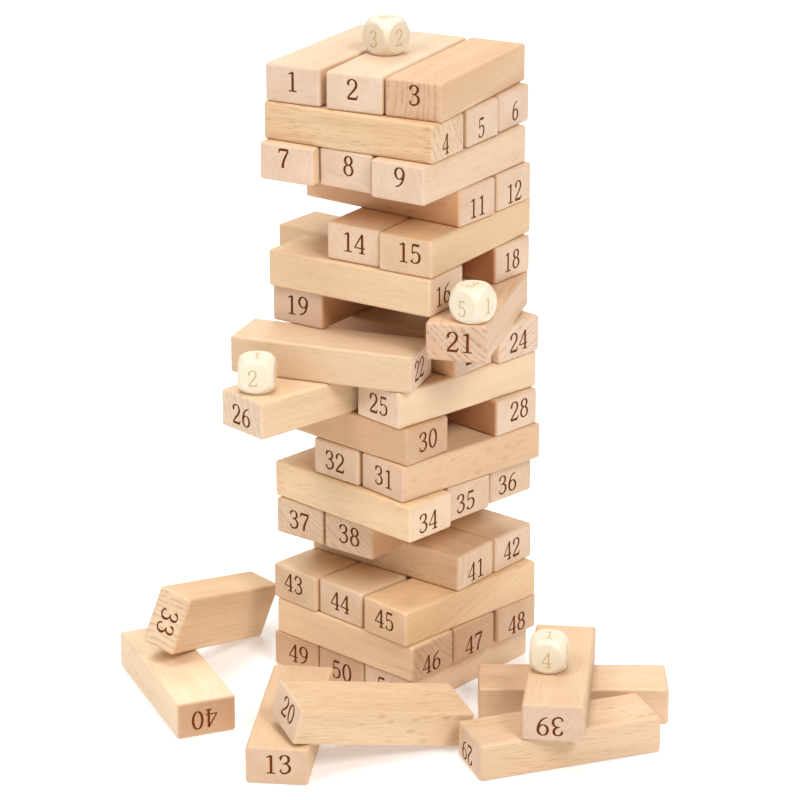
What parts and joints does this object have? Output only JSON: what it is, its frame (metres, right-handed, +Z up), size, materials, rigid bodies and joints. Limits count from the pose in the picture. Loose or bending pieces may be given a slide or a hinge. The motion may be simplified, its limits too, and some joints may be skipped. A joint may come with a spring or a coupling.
{
  "type": "giant tumbling tower",
  "caption": "Stacking game of numbered beech blocks in crossed layers of three, caught mid game with drawn blocks and dice round and on the tower.",
  "frame": {"origin": "on the underside of block 50, the middle block of the bottom layer, at its centre; the ground is z = 0", "axes": "+Z up the tower; -Y the side that shows the numbered ends of the bottom layer, +X the side that shows the numbered ends of the second layer"},
  "size_m": [0.2195, 0.2088, 0.2693],
  "materials": {
    "beech": "sanded, lightly oiled",
    "die": "polished"
  },
  "bodies": {
    "block_01": {"block_01": "beech"},
    "block_02": {"block_02": "beech"},
    "block_03": {"block_03": "beech"},
    "block_04": {"block_04": "beech"},
    "block_05": {"block_05": "beech"},
    "block_06": {"block_06": "beech"},
    "block_07": {"block_07": "beech"},
    "block_08": {"block_08": "beech"},
    "block_09": {"block_09": "beech"},
    "block_10": {"block_10": "beech"},
    "block_11": {"block_11": "beech"},
    "block_12": {"block_12": "beech"},
    "block_13": {"block_13": "beech"},
    "block_14": {"block_14": "beech"},
    "block_15": {"block_15": "beech"},
    "block_16": {"block_16": "beech"},
    "block_17": {"block_17": "beech"},
    "block_18": {"block_18": "beech"},
    "block_19": {"block_19": "beech"},
    "block_20": {"block_20": "beech"},
    "block_21": {"block_21": "beech"},
    "block_22": {"block_22": "beech"},
    "block_23": {"block_23": "beech"},
    "block_24": {"block_24": "beech"},
    "block_25": {"block_25": "beech"},
    "block_26": {"block_26": "beech"},
    "block_27": {"block_27": "beech"},
    "block_28": {"block_28": "beech"},
    "block_29": {"block_29": "beech"},
    "block_30": {"block_30": "beech"},
    "block_31": {"block_31": "beech"},
    "block_32": {"block_32": "beech"},
    "block_33": {"block_33": "beech"},
    "block_34": {"block_34": "beech"},
    "block_35": {"block_35": "beech"},
    "block_36": {"block_36": "beech"},
    "block_37": {"block_37": "beech"},
    "block_38": {"block_38": "beech"},
    "block_39": {"block_39": "beech"},
    "block_40": {"block_40": "beech"},
    "block_41": {"block_41": "beech"},
    "block_42": {"block_42": "beech"},
    "block_43": {"block_43": "beech"},
    "block_44": {"block_44": "beech"},
    "block_45": {"block_45": "beech"},
    "block_46": {"block_46": "beech"},
    "block_47": {"block_47": "beech"},
    "block_48": {"block_48": "beech"},
    "block_49": {"block_49": "beech"},
    "block_50": {"block_50": "beech"},
    "block_51": {"block_51": "beech"},
    "die_top": {"die_top": "die"},
    "die_right": {"die_right": "die"},
    "die_front": {"die_front": "die"},
    "die_side": {"die_side": "die"}
  },
  "joints": [
    {"name": "draw_49", "type": "slide", "parent": "block_50", "child": "block_49", "axis": [0.0611, 0.9981, 0], "range_m": [0, 0.075]},
    {"name": "draw_51", "type": "slide", "parent": "block_50", "child": "block_51", "axis": [0.0611, 0.9981, 0], "range_m": [0, 0.075]},
    {"name": "draw_46", "type": "slide", "parent": "block_50", "child": "block_46", "axis": [0.9962, -0.0872, 0], "range_m": [-0.014, 0.009]},
    {"name": "draw_47", "type": "slide", "parent": "block_50", "child": "block_47", "axis": [-0.9962, 0.0872, 0], "range_m": [0, 0.075]},
    {"name": "draw_48", "type": "slide", "parent": "block_50", "child": "block_48", "axis": [-0.9962, 0.0872, 0], "range_m": [0, 0.075]},
    {"name": "draw_43", "type": "slide", "parent": "block_50", "child": "block_43", "axis": [0.1132, 0.9936, 0], "range_m": [0, 0.075]},
    {"name": "draw_44", "type": "slide", "parent": "block_50", "child": "block_44", "axis": [0.1132, 0.9936, 0], "range_m": [0, 0.075]},
    {"name": "draw_45", "type": "slide", "parent": "block_50", "child": "block_45", "axis": [0.1392, 0.9903, 0], "range_m": [0, 0.075]},
    {"name": "draw_41", "type": "slide", "parent": "block_50", "child": "block_41", "axis": [-1, 0.0087, 0], "range_m": [0, 0.075]},
    {"name": "draw_42", "type": "slide", "parent": "block_50", "child": "block_42", "axis": [-0.999, 0.0436, 0], "range_m": [0, 0.075]},
    {"name": "draw_37", "type": "slide", "parent": "block_50", "child": "block_37", "axis": [0.0087, 1, 0], "range_m": [0, 0.075]},
    {"name": "draw_38", "type": "slide", "parent": "block_50", "child": "block_38", "axis": [0, -1, 0], "range_m": [0, 0.075]},
    {"name": "draw_34", "type": "slide", "parent": "block_50", "child": "block_34", "axis": [-0.9936, 0.1132, 0], "range_m": [0, 0.075]},
    {"name": "draw_35", "type": "slide", "parent": "block_50", "child": "block_35", "axis": [-0.9903, 0.1392, 0], "range_m": [0, 0.075]},
    {"name": "draw_36", "type": "slide", "parent": "block_50", "child": "block_36", "axis": [-0.989, 0.1478, 0], "range_m": [0, 0.075]},
    {"name": "draw_32", "type": "slide", "parent": "block_50", "child": "block_32", "axis": [0.0872, 0.9962, 0], "range_m": [0, 0.075]},
    {"name": "draw_31", "type": "slide", "parent": "block_50", "child": "block_31", "axis": [0.1822, 0.9833, 0], "range_m": [0, 0.075]},
    {"name": "draw_30", "type": "slide", "parent": "block_50", "child": "block_30", "axis": [-0.9954, 0.0958, 0], "range_m": [0, 0.075]},
    {"name": "draw_28", "type": "slide", "parent": "block_50", "child": "block_28", "axis": [-0.9914, 0.1305, 0], "range_m": [0, 0.075]},
    {"name": "draw_26", "type": "slide", "parent": "block_50", "child": "block_26", "axis": [-0.1736, -0.9848, 0], "range_m": [-0.006, 0.03]},
    {"name": "draw_25", "type": "slide", "parent": "block_50", "child": "block_25", "axis": [0.1736, 0.9848, 0], "range_m": [0, 0.075]},
    {"name": "draw_22", "type": "slide", "parent": "block_50", "child": "block_22", "axis": [-0.9563, -0.2924, 0], "range_m": [0, 0.075]},
    {"name": "draw_23", "type": "slide", "parent": "block_50", "child": "block_23", "axis": [-0.999, 0.0436, 0], "range_m": [0, 0.075]},
    {"name": "draw_24", "type": "slide", "parent": "block_50", "child": "block_24", "axis": [-0.9945, 0.1045, 0], "range_m": [0, 0.075]},
    {"name": "draw_19", "type": "slide", "parent": "block_50", "child": "block_19", "axis": [-0.0611, 0.9981, 0], "range_m": [0, 0.075]},
    {"name": "draw_21", "type": "slide", "parent": "block_50", "child": "block_21", "axis": [0.3907, -0.9205, 0], "range_m": [0, 0.075]},
    {"name": "draw_16", "type": "slide", "parent": "block_50", "child": "block_16", "axis": [-0.9976, -0.0698, 0], "range_m": [0, 0.075]},
    {"name": "draw_17", "type": "slide", "parent": "block_50", "child": "block_17", "axis": [-1, 0, 0], "range_m": [0, 0.075]},
    {"name": "draw_18", "type": "slide", "parent": "block_50", "child": "block_18", "axis": [-1, 0, 0], "range_m": [0, 0.075]},
    {"name": "draw_14", "type": "slide", "parent": "block_50", "child": "block_14", "axis": [-0.0872, 0.9962, 0], "range_m": [0, 0.075]},
    {"name": "draw_15", "type": "slide", "parent": "block_50", "child": "block_15", "axis": [-0.0872, 0.9962, 0], "range_m": [0, 0.075]},
    {"name": "draw_11", "type": "slide", "parent": "block_50", "child": "block_11", "axis": [-1, -0.0087, 0], "range_m": [0, 0.075]},
    {"name": "draw_12", "type": "slide", "parent": "block_50", "child": "block_12", "axis": [0.9994, 0.0349, 0], "range_m": [0, 0.075]},
    {"name": "draw_07", "type": "slide", "parent": "block_50", "child": "block_07", "axis": [-0.1392, 0.9903, 0], "range_m": [0, 0.075]},
    {"name": "draw_08", "type": "slide", "parent": "block_50", "child": "block_08", "axis": [-0.0611, 0.9981, 0], "range_m": [0, 0.075]},
    {"name": "draw_09", "type": "slide", "parent": "block_50", "child": "block_09", "axis": [0.0785, -0.9969, 0], "range_m": [0, 0.075]},
    {"name": "draw_04", "type": "slide", "parent": "block_50", "child": "block_04", "axis": [-0.9936, -0.1132, 0], "range_m": [0, 0.075]},
    {"name": "draw_05", "type": "slide", "parent": "block_50", "child": "block_05", "axis": [-0.9954, -0.0958, 0], "range_m": [0, 0.075]},
    {"name": "draw_06", "type": "slide", "parent": "block_50", "child": "block_06", "axis": [0.9936, 0.1132, 0], "range_m": [0, 0.075]},
    {"name": "draw_01", "type": "slide", "parent": "block_50", "child": "block_01", "axis": [0.1564, -0.9877, 0], "range_m": [0, 0.075]},
    {"name": "draw_02", "type": "slide", "parent": "block_50", "child": "block_02", "axis": [-0.1908, 0.9816, 0], "range_m": [0, 0.075]},
    {"name": "draw_03", "type": "slide", "parent": "block_50", "child": "block_03", "axis": [-0.1822, 0.9833, 0], "range_m": [0, 0.075]},
    {"name": "push_40", "type": "slide", "parent": "block_50", "child": "block_40", "axis": [-0.5075, -0.8616, 0], "range_m": [0, 0.04]},
    {"name": "push_29", "type": "slide", "parent": "block_50", "child": "block_29", "axis": [0.8387, -0.5446, 0], "range_m": [0, 0.04]},
    {"name": "push_27", "type": "slide", "parent": "block_50", "child": "block_27", "axis": [0.8039, 0.5948, 0], "range_m": [0, 0.06]},
    {"name": "push_10", "type": "slide", "parent": "block_50", "child": "block_10", "axis": [0.1045, 0.9945, 0], "range_m": [0, 0.06]},
    {"name": "lift_13", "type": "slide", "parent": "block_50", "child": "block_13", "axis": [0, 0, 1], "range_m": [0, 0.04]},
    {"name": "lift_20", "type": "slide", "parent": "block_13", "child": "block_20", "axis": [0, 0, 1], "range_m": [0, 0.05]},
    {"name": "lift_33", "type": "slide", "parent": "block_40", "child": "block_33", "axis": [0, 0, 1], "range_m": [0, 0.05]},
    {"name": "lift_39", "type": "slide", "parent": "block_29", "child": "block_39", "axis": [0, 0, 1], "range_m": [0, 0.05]},
    {"name": "lift_die_top", "type": "slide", "parent": "block_02", "child": "die_top", "axis": [0, 0, 1], "range_m": [0, 0.05]},
    {"name": "lift_die_right", "type": "slide", "parent": "block_21", "child": "die_right", "axis": [0, 0, 1], "range_m": [0, 0.05]},
    {"name": "lift_die_front", "type": "slide", "parent": "block_26", "child": "die_front", "axis": [0, 0, 1], "range_m": [0, 0.05]},
    {"name": "lift_die_side", "type": "slide", "parent": "block_39", "child": "die_side", "axis": [0, 0, 1], "range_m": [0, 0.04]}
  ]
}
